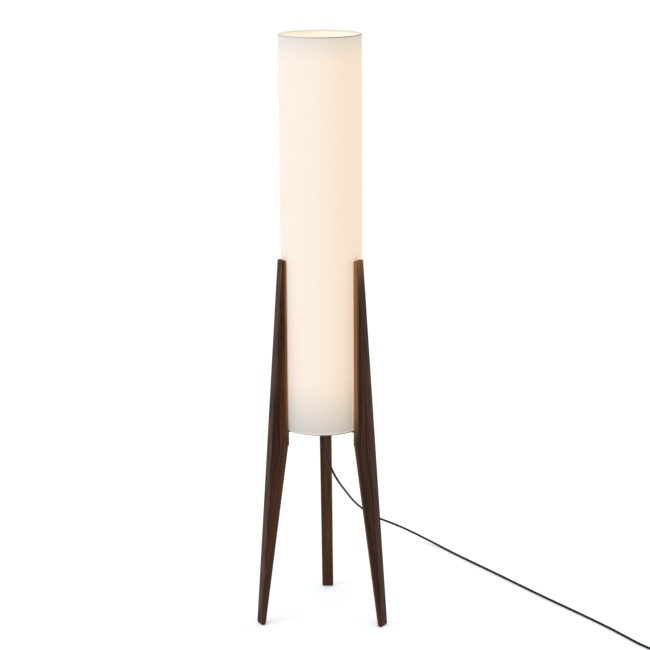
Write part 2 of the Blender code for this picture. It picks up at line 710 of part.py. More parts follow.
bend_height = plate_low - NUT_HEIGHT - SIDE_WIRE_BEND - SIDE_WIRE_MARGIN
bend_start = PLATE_OFFSET - SIDE_WIRE_BEND
quarter = arc(SIDE_WIRE_BEND, (bend_start, bend_height + SIDE_WIRE_BEND), -90, 0, 10)
side_route = [(0.0, (PIPE_INNER + PIPE_OUTER) / 4, bend_height)]
side_route += [(0.0, y, z) for y, z in quarter]
side_route += [(0.0, PLATE_OFFSET, LOWER_HOLDER_BASE + NIPPLE_GRIP + 4 * GAP)]
tube("wire_lower", side_route, SIDE_WIRE_DIAMETER, wire_white, lamp)
backward = (-math.pi / 2, 0, 0)
side_hole = round_cutter(
    "stem_side_hole", SIDE_WIRE_DIAMETER / 2 + GAP, 0.0, PIPE_OUTER, lamp, (0, 0, bend_height), backward, 16
)
combine(stem, side_hole, "DIFFERENCE")


# ---- shade ----

hem_outer = SHADE_RADIUS + HEM_RISE
fabric_inner = SHADE_RADIUS - FABRIC_WALL
fabric_profile = [
    (fabric_inner, SHADE_BOTTOM),
    (hem_outer, SHADE_BOTTOM),
    (hem_outer, SHADE_BOTTOM + HEM_HEIGHT),
    (SHADE_RADIUS, SHADE_BOTTOM + HEM_HEIGHT),
    (SHADE_RADIUS, SHADE_TOP - HEM_HEIGHT),
    (hem_outer, SHADE_TOP - HEM_HEIGHT),
    (hem_outer, SHADE_TOP),
    (fabric_inner, SHADE_TOP),
]
add("shade_fabric", turned("shade_fabric", fabric_profile, SHADE_SIDES), linen, lamp)
liner_profile = [
    (LINER_INNER, SHADE_BOTTOM),
    (LINER_OUTER, SHADE_BOTTOM),
    (LINER_OUTER, SHADE_TOP),
    (LINER_INNER, SHADE_TOP),
]
add("shade_liner", turned("shade_liner", liner_profile, SHADE_SIDES), liner_white, lamp)
for ring_name, ring_height in (
    ("shade_ring_bottom", SHADE_BOTTOM + RING_WIRE / 2),
    ("shade_ring_top", SHADE_TOP - RING_WIRE / 2),
):
    wire_circle = arc(RING_WIRE / 2, (RING_RADIUS, ring_height), 0, 315, 7)
    add(ring_name, turned(ring_name, wire_circle, SHADE_SIDES), ring_white, lamp)


# ---- free cord, foot switch, coil and plug ----


def stored(along, side, height=0.0):
    """A place in the stored end of the cord, from the lamp's axis."""
    return STORE_START + along * STORE_ALONG + side * STORE_SIDE + Vector((0, 0, height))


store_turn = math.atan2(STORE_ALONG.y, STORE_ALONG.x)
switch_near = SWITCH_AT - SWITCH_LENGTH / 2
switch_far = SWITCH_AT + SWITCH_LENGTH / 2
plug_height = GAP + PLUG_HEIGHT / 2

down = (0, 0, -1)
along = tuple(STORE_ALONG)
back = tuple(-STORE_ALONG)
lead_start = (0, 0, CORD_EXIT)
lead_route = [(0, 0, CORD_EXIT - CORD_STRAIGHT), *CORD_ROUTE]
turn_places = arc(TURN_RADIUS, (TURN_CENTRE.x, TURN_CENTRE.y), TURN_FROM, 0, TURN_STEPS)
lead_route += [(x, y, CORD_LIE) for x, y in turn_places[1:]]
lead_route.append(tuple(stored(LEAD_RISE_AT, 0, LEAD_RISE_HEIGHT)))
lead_route.append(tuple(stored(switch_near - GAP - CORD_STUB, 0, SWITCH_SPLIT)))
lead_end = tuple(stored(switch_near - GAP, 0, SWITCH_SPLIT))
lead_middle = smooth_route(lead_route, CORD_POINTS - 2, down, along)
lead_points = [lead_start, *lead_middle, lead_end]
tube("cord_lead", lead_points, CORD_DIAMETER, black_pvc, lamp)

# Each tube ends in a short straight stub where it meets the switch or the plug, so that its end is square.
link_start = tuple(stored(switch_far + GAP, 0, SWITCH_SPLIT))
link_route = [
    tuple(stored(switch_far + GAP + CORD_STUB, 0, SWITCH_SPLIT)),
    tuple(stored((switch_far + COIL_AT - COIL_MEETS) / 2, 0, SWITCH_SPLIT * 0.6)),
    tuple(stored(COIL_AT - COIL_MEETS, 0, CORD_LIE)),
]
link_points = [link_start, *smooth_route(link_route, LINK_POINTS, along, along)]
tube("cord_link", link_points, CORD_DIAMETER, black_pvc, lamp)

coil_height = COIL_LAYERS * CORD_DIAMETER
coil_profile = [
    (COIL_INNER, CORD_LIE - CORD_DIAMETER / 2),
    (COIL_OUTER, CORD_LIE - CORD_DIAMETER / 2),
    (COIL_OUTER, coil_height),
    (COIL_INNER, coil_height),
]
coil_place = stored(COIL_AT, COIL_TURN_OUTER)
add("cord_coil", turned("cord_coil", coil_profile, 40), black_pvc, lamp, coil_place)

tail_route = [
    tuple(stored(COIL_AT - COIL_MEETS, 2 * COIL_TURN_OUTER, coil_height - CORD_DIAMETER / 2)),
    tuple(stored((COIL_AT - COIL_MEETS + PLUG_AT) / 2, 2 * COIL_TURN_OUTER, coil_height * 0.7)),
    tuple(stored(PLUG_AT + GAP + CORD_STUB, 2 * COIL_TURN_OUTER, plug_height)),
]
tail_end = tuple(stored(PLUG_AT + GAP, 2 * COIL_TURN_OUTER, plug_height))
tail_points = [*smooth_route(tail_route, LINK_POINTS, back, back), tail_end]
tube("cord_tail", tail_points, CORD_DIAMETER, black_pvc, lamp)


def make_switch():
    """A foot switch of two shells, with a sprung button in the upper one and the contact block under it."""
    at = empty("switch_place", stored(SWITCH_AT, 0), lamp, store_turn)
    inner_size = (SWITCH_LENGTH - 2 * SWITCH_WALL, SWITCH_WIDTH - 2 * SWITCH_WALL)
    outer_outline = stadium(SWITCH_LENGTH, SWITCH_WIDTH)
    base_mesh = prism("switch_base", outer_outline, SWITCH_FOOT, SWITCH_SPLIT - GAP / 2)
    base = add("switch_base", base_mesh, phenolic, at)
    base_room = prism("base_room", stadium(*inner_size), SWITCH_FOOT + SWITCH_WALL, SWITCH_TOP)
    combine(base, add("base_room", base_room, None, at), "DIFFERENCE")

    cover_mesh = prism("switch_cover", outer_outline, SWITCH_SPLIT + GAP / 2, SWITCH_TOP)
    cover = rounded(add("switch_cover", cover_mesh, phenolic, at), SWITCH_WALL / 2)
    cover_room = prism("cover_room", stadium(*inner_size), 0.0, SWITCH_TOP - SWITCH_WALL)
    combine(cover, add("cover_room", cover_room, None, at), "DIFFERENCE")
    mouth = round_cutter("button_mouth", BUTTON_RADIUS + BUTTON_PLAY, 0.0, 2 * SWITCH_TOP, at)
    combine(cover, mouth, "DIFFERENCE")

    flange = BUTTON_RADIUS + BUTTON_PLAY + BUTTON_FLANGE
    flange_top = SWITCH_TOP - SWITCH_WALL - GAP
    flange_low = flange_top - BUTTON_FLANGE
    button_profile = [
        (0, flange_low),
        (flange, flange_low),
        (flange, flange_top),
        (BUTTON_RADIUS, flange_top),
        (BUTTON_RADIUS, SWITCH_TOP + BUTTON_PROUD * 0.7),
        (BUTTON_RADIUS * 0.8, SWITCH_TOP + BUTTON_PROUD),
        (0, SWITCH_TOP + BUTTON_PROUD),
    ]
    add("switch_button", turned("switch_button", button_profile, 28), phenolic, at)

    block_top = flange_low - BUTTON_TRAVEL - 2 * GAP
    block_low = SWITCH_FOOT + SWITCH_WALL + GAP
    block_mesh = prism("switch_block", stadium(BLOCK_LENGTH, BLOCK_WIDTH), block_low, block_top)
    add("switch_block", block_mesh, wire_white, at)


def make_plug():
    """A flat two-pin plug, its pins pointing away from the coil."""
    at = empty("plug_place", stored(PLUG_AT, 2 * COIL_TURN_OUTER), lamp, store_turn + math.pi)
    half = PLUG_WIDTH / 2
    waist = CORD_DIAMETER
    outline = [
        (0.0, -waist),
        (PLUG_TAPER, -half),
        (PLUG_LENGTH, -half),
        (PLUG_LENGTH, half),
        (PLUG_TAPER, half),
        (0.0, waist),
    ]
    body = add("plug_body", prism("plug_body", outline, GAP, GAP + PLUG_HEIGHT), black_pvc, at)
    rounded(body, PLUG_EDGE)
    pin_profile = [
        (0, PLUG_LENGTH + GAP),
        (PIN_DIAMETER / 2, PLUG_LENGTH + GAP),
        (PIN_DIAMETER / 2, PLUG_LENGTH + PIN_LENGTH - PIN_DIAMETER / 4),
        (PIN_DIAMETER / 4, PLUG_LENGTH + PIN_LENGTH),
        (0, PLUG_LENGTH + PIN_LENGTH),
    ]
    for pin_name, side in (("plug_pin_a", -1), ("plug_pin_b", 1)):
        pin_mesh = turned(pin_name, pin_profile, 16)
        add(pin_name, pin_mesh, zinc, at, (0, side * PIN_SPACING / 2, plug_height), (0, math.pi / 2, 0))


make_switch()
make_plug()
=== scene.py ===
"""Tripod floor lamp: a tall round fabric shade standing between three tapered walnut legs, lit from inside.

Units are metres and +Z is up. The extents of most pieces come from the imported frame. The cord's route, the
shade's radius and some lesser sizes are written here instead.
"""

import math

import bmesh
import bpy
import numpy as np
from mathutils import Matrix, Vector


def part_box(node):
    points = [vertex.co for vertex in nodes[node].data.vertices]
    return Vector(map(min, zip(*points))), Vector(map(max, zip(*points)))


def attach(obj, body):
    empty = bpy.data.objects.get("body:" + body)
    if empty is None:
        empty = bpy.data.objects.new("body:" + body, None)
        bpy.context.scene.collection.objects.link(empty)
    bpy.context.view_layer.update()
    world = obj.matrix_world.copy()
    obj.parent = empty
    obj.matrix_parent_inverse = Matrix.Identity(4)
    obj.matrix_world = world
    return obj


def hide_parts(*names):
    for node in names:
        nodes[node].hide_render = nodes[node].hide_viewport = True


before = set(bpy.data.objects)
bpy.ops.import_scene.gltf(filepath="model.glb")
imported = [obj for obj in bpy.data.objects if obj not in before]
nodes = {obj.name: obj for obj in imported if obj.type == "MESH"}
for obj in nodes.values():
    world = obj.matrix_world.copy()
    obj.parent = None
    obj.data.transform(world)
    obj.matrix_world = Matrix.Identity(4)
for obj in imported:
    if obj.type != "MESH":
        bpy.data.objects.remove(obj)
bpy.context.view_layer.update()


# ---- camera ----
# The lamp seen from a little above its top and slightly to its right, looking down at its middle from nearly
# five metres away.

stem_low, stem_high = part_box("stem")
AXIS = Vector(((stem_low.x + stem_high.x) / 2, (stem_low.y + stem_high.y) / 2, 0.0))
EYE = Vector((0.2846, -4.6182, 1.9103))
LOOK_RIGHT = -0.0599
LOOK_DOWN = 0.2447
TILT = -0.0068
SENSOR_WIDTH = 36.0
LENS = 107.0
FAR_CLIP = 200.0

ahead = Vector((
    math.sin(LOOK_RIGHT) * math.cos(LOOK_DOWN),
    math.cos(LOOK_RIGHT) * math.cos(LOOK_DOWN),
    -math.sin(LOOK_DOWN),
))
level = Vector((math.cos(LOOK_RIGHT), -math.sin(LOOK_RIGHT), 0.0))
upward = level.cross(ahead)
right = math.cos(TILT) * level + math.sin(TILT) * upward
upright = math.cos(TILT) * upward - math.sin(TILT) * level
camera_data = bpy.data.cameras.new("camera")
camera_data.sensor_width = SENSOR_WIDTH
camera_data.lens = LENS
camera_data.clip_end = FAR_CLIP
camera = bpy.data.objects.new("camera", camera_data)
facing = Matrix((right, upright, -ahead)).transposed().to_4x4()
camera.matrix_world = Matrix.Translation(AXIS + EYE) @ facing
bpy.context.scene.collection.objects.link(camera)
bpy.context.scene.camera = camera


# ---- mains cord ----
# A round black mains lead of 2.6 m. It leaves the grip under the hub, falls behind the lamp, lies across
# the floor to the right, passes through the foot switch, and the rest is wound into a coil with the plug
# beside it.

CORD_DIAMETER = 0.0058
CORD_LIE = 0.0031


class Socket:
    """One output in a material, so that what varies over a surface is written as sums and products."""

    def __init__(self, finish, output):
        self.finish = finish
        self.output = output

    def maths(self, operation, *others):
        values = dict(enumerate([self, *others]))
        return self.finish.node("Math", {"operation": operation}, values)

    def __add__(self, other):
        return self.maths("ADD", other)

    def __sub__(self, other):
        return self.maths("SUBTRACT", other)

    def __rsub__(self, other):
        return self.finish.node("Math", {"operation": "SUBTRACT"}, {0: other, 1: self})

    def __mul__(self, other):
        return self.maths("MULTIPLY", other)

    def sine(self):
        return self.maths("SINE")

    def most(self, other):
        return self.maths("MAXIMUM", other)

    def ramp(self, low, high):
        """0 below low, 1 above high, and smooth between."""
        settings = {"interpolation_type": "SMOOTHSTEP"}
        return self.finish.node("MapRange", settings, {"Value": self, "From Min": low, "From Max": high})


class Finish:
    """A material being made: its shader, and the nodes that vary it over the surface."""

    def __init__(self, name, **constants):
        self.material = bpy.data.materials.new(name)
        self.material.use_nodes = True
        self.tree = self.material.node_tree
        self.shader = self.tree.nodes["Principled BSDF"]
        for socket, value in constants.items():
            self.shader.inputs[socket.replace("_", " ")].default_value = value
        self.place = self.node("TexCoord", {}, {}, "Object")

    def node(self, kind, settings, values, output=0):
        made = self.tree.nodes.new("ShaderNode" + kind)
        for key, value in settings.items():
            setattr(made, key, value)
        for key, value in values.items():
            if isinstance(value, Socket):
                self.tree.links.new(value.output, made.inputs[key])
            else:
                made.inputs[key].default_value = value
        return Socket(self, made.outputs[output])

    def along(self, axis):
        """How far along "X", "Y" or "Z" the surface is."""
        return self.node("SeparateXYZ", {}, {0: self.place}, axis)

    def stretched(self, x, y, z):
        return self.node("VectorMath", {"operation": "MULTIPLY"}, {0: self.place, 1: (x, y, z)})

    def noise(self, scale, detail=3.0, place=None):
        values = {"Vector": place or self.place, "Scale": scale, "Detail": detail}
        return self.node("TexNoise", {}, values, "Fac")

    def mix(self, first, second, share):
        """A colour between two, where share is 0 for the first and 1 for the second."""
        first, second = ((*c, 1.0) if isinstance(c, tuple) else c for c in (first, second))
        return self.node("Mix", {"data_type": "RGBA"}, {0: share, 6: first, 7: second}, 2)

    def set(self, **inputs):
        for name, value in inputs.items():
            self.tree.links.new(value.output, self.shader.inputs[name.replace("_", " ")])
        return self

    def bump(self, height, distance, strength=1.0):
        values = {"Height": height, "Distance": distance, "Strength": strength}
        return self.set(Normal=self.node("Bump", {}, values))


def moulded(name, dark, light, roughness, grain, depth, gloss=0.5):
    """Moulded plastic or rubber: one colour that drifts a little, with a fine spark-eroded texture."""
    made = Finish(name, Specular_IOR_Level=gloss)
    cloud = made.noise(60.0)
    made.set(Base_Color=made.mix(dark, light, cloud))
    made.set(Roughness=made.noise(25.0) * 0.16 + (roughness - 0.08))
    return made.bump(made.noise(grain, 2.0), depth).material


def coat(piece, material):
    piece.data.materials.clear()
    piece.data.materials.append(material)
    return piece


cord_black = moulded(
    "cord_black", (0.003, 0.003, 0.003), (0.006, 0.006, 0.006), 0.60, 1800.0, 0.00005, 0.16
)

TURN_START = (0.811, -0.215)
cord_route = [
    (0.0, 0.0, 0.4685), (0.0, 0.0, 0.4585), (0.0012, 0.0045, 0.447), (0.007, 0.030, 0.413),
    (0.014, 0.057, 0.375), (0.020, 0.072, 0.353), (0.027, 0.092, 0.330), (0.0337, 0.122, 0.306),
    (0.0380, 0.162, 0.283), (0.0417, 0.201, 0.262), (0.0504, 0.280, 0.218), (0.0631, 0.356, 0.172),
    (0.083, 0.431, 0.125), (0.098, 0.466, 0.100), (0.119, 0.498, 0.077), (0.150, 0.521, 0.056),
    (0.189, 0.529, 0.037), (0.231, 0.520, 0.020), (0.268, 0.498, 0.009), (0.300, 0.466, 0.004),
    (0.327, 0.430, CORD_LIE), (0.427, 0.297, CORD_LIE), (0.571, 0.105, CORD_LIE), (0.751, -0.135, CORD_LIE),
    (*TURN_START, CORD_LIE),
]
TURN_LEFT = Vector((0.8, 0.6, 0.0))
TURN_RADIUS = 0.035
TURN_STEPS = 4
STORE_ALONG = Vector((0.0, 1.0, 0.0))
STORE_SIDE = Vector((1.0, 0.0, 0.0))
turn_centre = Vector((*TURN_START, 0.0)) + TURN_RADIUS * TURN_LEFT
STORE_START = turn_centre + TURN_RADIUS * STORE_SIDE
SWITCH_AT = 0.095
SWITCH_SPLIT = 0.0085
COIL_AT = 0.185
COIL_OUTER_TURN = 0.0375
COIL_INNER_TURN = 0.0315
COIL_ACROSS = 2 * COIL_OUTER_TURN
COIL_TOP = 0.0087
COIL_TURNS = 2.5
COIL_NARROWS = (0.75, 1.0)
COIL_CLIMBS = (1.2, 1.6)
COIL_WIDENS = (1.75, 2.0)
STEPS_PER_TURN = 20
PLUG_AT = 0.130
PLUG_MIDDLE = 0.00705


def stored(along, side, height):
    """A place in the stored end of the cord, from the lamp's axis."""
    return tuple(STORE_START + along * STORE_ALONG + side * STORE_SIDE + Vector((0.0, 0.0, height)))


def eased(value, low, high):
    """0 below low, 1 above high, and smooth between."""
    share = min(max((value - low) / (high - low), 0.0), 1.0)
    return share * share * (3 - 2 * share)


turn_from = math.atan2(-TURN_LEFT.y, -TURN_LEFT.x)
for step in range(1, TURN_STEPS + 1):
    swing = turn_from * (1 - step / TURN_STEPS)
    outward = Vector((math.cos(swing), math.sin(swing), 0.0))
    cord_route.append(tuple(turn_centre + TURN_RADIUS * outward + Vector((0.0, 0.0, CORD_LIE))))
cord_route += [
    stored(0.030, 0.0, 0.0047), stored(0.0557, 0.0, SWITCH_SPLIT), stored(SWITCH_AT, 0.0, SWITCH_SPLIT),
    stored(0.1343, 0.0, SWITCH_SPLIT), stored(0.149, 0.0, 0.0054), stored(0.166, 0.0, CORD_LIE),
]
for step in range(int(COIL_TURNS * STEPS_PER_TURN) + 1):
    turn = step / STEPS_PER_TURN
    inward = eased(turn, *COIL_NARROWS) - eased(turn, *COIL_WIDENS)
    radius = COIL_OUTER_TURN - (COIL_OUTER_TURN - COIL_INNER_TURN) * inward
    height = CORD_LIE + (COIL_TOP - CORD_LIE) * eased(turn, *COIL_CLIMBS)
    swing = 2 * math.pi * turn
    along = COIL_AT + radius * math.sin(swing)
    cord_route.append(stored(along, COIL_OUTER_TURN - radius * math.cos(swing), height))
cord_route += [
    stored(0.164, COIL_ACROSS, COIL_TOP), stored(0.147, COIL_ACROSS, 0.0079),
    stored(PLUG_AT + 0.0003, COIL_ACROSS, PLUG_MIDDLE),
]

cord_curve = bpy.data.curves.new("mains_cord", "CURVE")
cord_curve.dimensions = "3D"
cord_curve.bevel_depth = CORD_DIAMETER / 2
cord_curve.bevel_resolution = 4
cord_curve.resolution_u = 6
cord_curve.use_fill_caps = True
cord_line = cord_curve.splines.new("BEZIER")
cord_line.bezier_points.add(len(cord_route) - 1)

# The cord bends as a springy rod does, with no step in its curvature. This solves for its direction at each
# place.
places = np.array(cord_route)
gaps = np.linalg.norm(np.diff(places, axis=0), axis=1)
slopes = np.diff(places, axis=0) / gaps[:, None]
count = len(places)
stiff = np.zeros((count, count))
pull = np.zeros((count, 3))
for i in range(1, count - 1):
    stiff[i, i - 1] = gaps[i]
    stiff[i, i] = 2 * (gaps[i - 1] + gaps[i])
    stiff[i, i + 1] = gaps[i - 1]
    pull[i] = 3 * (gaps[i] * slopes[i - 1] + gaps[i - 1] * slopes[i])
stiff[0, 0] = stiff[-1, -1] = 1.0
pull[0] = slopes[0]
pull[-1] = slopes[-1]
heading = np.linalg.solve(stiff, pull)
for i, knot in enumerate(cord_line.bezier_points):
    before = gaps[max(i - 1, 0)] / 3
    after = gaps[min(i, count - 2)] / 3
    knot.handle_left_type = "FREE"
    knot.handle_right_type = "FREE"
    knot.co = AXIS + Vector(places[i])
    knot.handle_left = AXIS + Vector(places[i] - heading[i] * before)
    knot.handle_right = AXIS + Vector(places[i] + heading[i] * after)
mains_cord = bpy.data.objects.new("mains_cord", cord_curve)
bpy.context.scene.collection.objects.link(mains_cord)
coat(mains_cord, cord_black)
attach(mains_cord, "stand")
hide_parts("cord_lead", "cord_link", "cord_coil", "cord_tail")


# ---- foot switch and plug ----
# An inline foot switch of two glossy moulded shells with a dished push button, and a flat two-pin plug
# moulded onto the cord, narrowing to a neck where the cord enters, with black sleeves on the roots of its
# nickel pins.


ON_AXIS = 1e-9
SAME_PLACE = 1e-6
LARGE_SIDES = 64
MIDDLE_SIDES = 48
SMALL_SIDES = 28


def piece_of(name, shape, body, stands_for, material, sharp=35.0):
    """A new smooth-shaded piece that rides on a body and stands for its frame nodes."""
    bmesh.ops.recalc_face_normals(shape, faces=shape.faces)
    mesh = bpy.data.meshes.new(name)
    shape.to_mesh(mesh)
    shape.free()
    mesh.shade_smooth()
    mesh.set_sharp_from_angle(angle=math.radians(sharp))
    made = bpy.data.objects.new(name, mesh)
    bpy.context.scene.collection.objects.link(made)
    coat(made, material)
    return finish_piece(made, body, stands_for)


def finish_piece(made, body, stands_for):
    """Put a piece on its body, in place of its frame nodes."""
    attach(made, body)
    if stands_for:
        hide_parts(*stands_for)
    return made


def lathe(profile, sides, placing):
    """A closed profile of (radius, height) turned round the upright axis, then put in place."""
    shape = bmesh.new()
    points = [shape.verts.new((radius, 0.0, height)) for radius, height in profile]
    edges = [shape.edges.new(pair) for pair in zip(points, points[1:])]
    if profile[0][0] > ON_AXIS or profile[-1][0] > ON_AXIS:
        edges.append(shape.edges.new((points[-1], points[0])))
    bmesh.ops.spin(
        shape, geom=points + edges, cent=(0, 0, 0), axis=(0, 0, 1), angle=2 * math.pi, steps=sides
    )
    bmesh.ops.remove_doubles(shape, verts=shape.verts, dist=SAME_PLACE)
    bmesh.ops.transform(shape, matrix=placing, verts=shape.verts)
    return shape


def slab(outline, low, high, placing, inset, dome):
    """An outline between two heights. Its edges are rounded in by the inset, over the height of the dome."""
    shape = bmesh.new()
    centre = sum((Vector((x, y, 0.0)) for x, y in outline), Vector()) / len(outline)
    rings = [(inset, low), (inset * 0.3, low + dome * 0.3), (0.0, low + dome), (0.0, high - dome)]
    for share in (0.3, 0.6, 0.85, 1.0):
        lift = math.sqrt(1 - (1 - share) ** 2)
        rings.append((inset * share * share, high - dome + dome * lift))
    loops = []
    for back, height in rings:
        loop = []
        for x, y in outline:
            spoke = Vector((x, y, 0.0)) - centre
            reach = 1 - back / max(spoke.length, SAME_PLACE)
            loop.append(shape.verts.new(centre + spoke * reach + Vector((0.0, 0.0, height))))
        loops.append(loop)
    corners = len(outline)
    for lower, upper in zip(loops, loops[1:]):
        for i in range(corners):
            j = (i + 1) % corners
            shape.faces.new((lower[i], lower[j], upper[j], upper[i]))
    shape.faces.new(loops[0][::-1])
    shape.faces.new(loops[-1])
    bmesh.ops.transform(shape, matrix=placing, verts=shape.verts)
    return shape


def in_store(along, side, turn):
    """Where a piece on the stored end of the cord sits, turned from the x axis."""
    return Matrix.Translation(AXIS + Vector(stored(along, side, 0.0))) @ Matrix.Rotation(turn, 4, "Z")


store_turn = math.atan2(STORE_ALONG.y, STORE_ALONG.x)
switch_black = moulded("switch_black", (0.016, 0.016, 0.016), (0.026, 0.025, 0.024), 0.30, 900.0, 0.00004)
plug_black = moulded("plug_black", (0.013, 0.013, 0.014), (0.022, 0.022, 0.023), 0.45, 1300.0, 0.00006)
at_switch = in_store(SWITCH_AT, 0.0, store_turn)

for name in ("switch_base", "switch_cover"):
    coat(nodes[name], switch_black)
button_low, button_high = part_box("switch_button")
BUTTON_RADIUS = (button_high.x - button_low.x) / 2
button_profile = [
    (0.0, button_low.z), (BUTTON_RADIUS, button_low.z), (BUTTON_RADIUS, button_high.z - 0.0009),
    (BUTTON_RADIUS - 0.0003, button_high.z - 0.0002), (BUTTON_RADIUS - 0.001, button_high.z),
    (BUTTON_RADIUS * 0.5, button_high.z - 0.0005), (0.0, button_high.z - 0.0007),
]
button = piece_of(
    "switch_push_button", lathe(button_profile, MIDDLE_SIDES, at_switch), "button", ["switch_button"],
    switch_black,
)

at_plug = in_store(PLUG_AT, COIL_ACROSS, store_turn + math.pi)
PLUG_LENGTH = 0.034
PLUG_WIDTH = 0.033
PLUG_EDGE = 0.002
NECK_LENGTH = 0.0153
NECK_STEPS = 8
plug_low, plug_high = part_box("plug_body")
waist = CORD_DIAMETER
plug_outline = [(0.0, -waist)]
for step in range(NECK_STEPS + 1):
    share = step / NECK_STEPS
    flare = (PLUG_WIDTH / 2 - waist) * eased(share, 0.0, 1.0)
    plug_outline.append((PLUG_EDGE + NECK_LENGTH * share, -waist - flare))
plug_outline += [(PLUG_LENGTH - PLUG_EDGE, -PLUG_WIDTH / 2), (PLUG_LENGTH, -PLUG_WIDTH / 2 + PLUG_EDGE)]
plug_outline += [(x, -y) for x, y in reversed(plug_outline)]
plug_piece = piece_of(
    "plug_moulding", slab(plug_outline, plug_low.z, plug_high.z, at_plug, PLUG_EDGE, PLUG_EDGE), "stand",
    ["plug_body"], plug_black,
)


def metal(name, dark, light, roughness, fine):
    """Worked metal: fine drawn or plated streaks in its colour and its gloss."""
    made = Finish(name, Metallic=1.0)
    streak = made.noise(fine, 3.0, made.stretched(1.0, 1.0, 0.15))
    made.set(Base_Color=made.mix(dark, light, streak))
    made.set(Roughness=streak * 0.18 + roughness - 0.09)
    return made.bump(streak, 0.00003).material


nickel = metal("nickel", (0.50, 0.49, 0.47), (0.68, 0.67, 0.65), 0.24, 500.0)
PIN_RADIUS = 0.002
PIN_OFFSET = 0.0095
PIN_END = 0.019
SLEEVE_END = 0.0095
lying = Matrix.Rotation(math.pi / 2, 4, "Y")
for pin, side in (("a", -1), ("b", 1)):
    along_pin = at_plug @ Matrix.Translation((PLUG_LENGTH, side * PIN_OFFSET, PLUG_MIDDLE)) @ lying
    bare = [
        (0.0, SLEEVE_END), (PIN_RADIUS, SLEEVE_END), (PIN_RADIUS, PIN_END - 0.0012),
        (PIN_RADIUS * 0.8, PIN_END - 0.0004), (PIN_RADIUS * 0.4, PIN_END), (0.0, PIN_END),
    ]
    sleeve_radius = PIN_RADIUS * 0.97
    sleeve = [(0.0, 0.0003), (sleeve_radius, 0.0003), (sleeve_radius, SLEEVE_END - 0.0001)]
    sleeve.append((0.0, SLEEVE_END - 0.0001))
    piece_of(
        f"plug_pin_{pin}_tip", lathe(bare, SMALL_SIDES, along_pin), "stand", [f"plug_pin_{pin}"],
        nickel,
    )
    piece_of(
        f"plug_pin_{pin}_sleeve", lathe(sleeve, SMALL_SIDES, along_pin), "stand", [], plug_black
    )


# ---- legs ----
# Solid walnut, sawn to a taper: upright on the inside down to a knee just under the shade, then raking out
# to the foot. The edges are eased by hand and the wood is oiled, with its grain running parallel to the
# inner edge. The warm light that the shade throws on the faces beside it is painted into the wood's colour,
# strongest on the right leg, with a pale inner edge that is partly sapwood and partly painted light.

leg_low, leg_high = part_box("leg_back")
shade_low, shade_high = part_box("shade_fabric")
LEG_WIDTH = leg_high.x - leg_low.x
LEG_REACH = leg_high.y - AXIS.y
LEG_INNER = 0.102
LEG_TOP_DEPTH = 0.0105
LEG_FOOT_DEPTH = 0.0115
LEG_EDGE = 0.0015
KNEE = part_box("carrier")[0].z + 0.0003
LEG_ANGLES = {"left": 210.0, "right": 330.0, "back": 90.0}
GRAIN_STEP = 3.7
KNOT = (0.108, -0.010, 0.803)
STRONG_GLOW_LEG = {"sapwood_and_glow": 0.5, "lit_depth": 0.0165, "lit_share": 0.85}
WEAK_GLOW_LEG = {"sapwood_and_glow": 0.08, "lit_depth": 0.0085, "lit_share": 0.65}
rake = (LEG_REACH - LEG_FOOT_DEPTH - LEG_INNER) / (KNEE - leg_low.z)


def walnut_finish(name, seed, sapwood_and_glow, lit_depth, lit_share, knot=None):
    """Dark oiled walnut for one leg, in the leg's own frame: x outwards, y across and z up.

    The warm light that the shade throws on the faces beside it is painted into the colour.
    """
    made = Finish(name, Specular_IOR_Level=0.09)
    x, y, z = (made.along(axis) for axis in "XYZ")
    inward = x - (KNEE - z).most(0.0) * rake - LEG_INNER
    grain_place = made.node("CombineXYZ", {}, {0: inward, 1: y, 2: z * 0.045 + seed})
    broad = made.noise(34.0, 2.0, grain_place)
    bands = (inward * 780.0 + y * 260.0 + broad * 17.0).sine() * 0.5 + 0.5
    pore_place = made.node("CombineXYZ", {}, {0: inward, 1: y, 2: z * 0.02 + seed})
    pores = made.noise(950.0, 3.0, pore_place)
    streaks = made.noise(160.0, 3.0, grain_place)
    tone = broad * 0.52 + bands * 0.10 + streaks * 0.38
    if knot:
        away = made.node("VectorMath", {"operation": "DISTANCE"}, {0: made.place, 1: knot}, "Value")
        tone = tone - (1 - away.ramp(0.002, 0.009)) * 0.35
    brown = made.mix((0.014, 0.0047, 0.0020), (0.096, 0.035, 0.0125), tone.ramp(0.32, 0.72))
    brown = made.mix((0.012, 0.0042, 0.002), brown, pores.ramp(0.30, 0.50))
    # Painted light: the shade's warm glow on the faces near it, and a pale edge, part sapwood and part
    # painted light.
    near_inside = 1 - inward.ramp(lit_depth * 0.35, lit_depth)
    painted_shade_glow = z.ramp(KNEE, shade_low.z + 0.06) * near_inside * lit_share
    edge_sapwood_and_glow = (1 - inward.ramp(0.002, 0.007)) * sapwood_and_glow
    brown = made.mix(brown, (0.290, 0.122, 0.044), painted_shade_glow.most(edge_sapwood_and_glow) * (streaks * 0.6 + 0.6))
    made.set(Base_Color=brown, Roughness=pores * 0.22 + 0.36)
    return made.bump(pores * 0.7 + streaks * 0.3, 0.00018).material


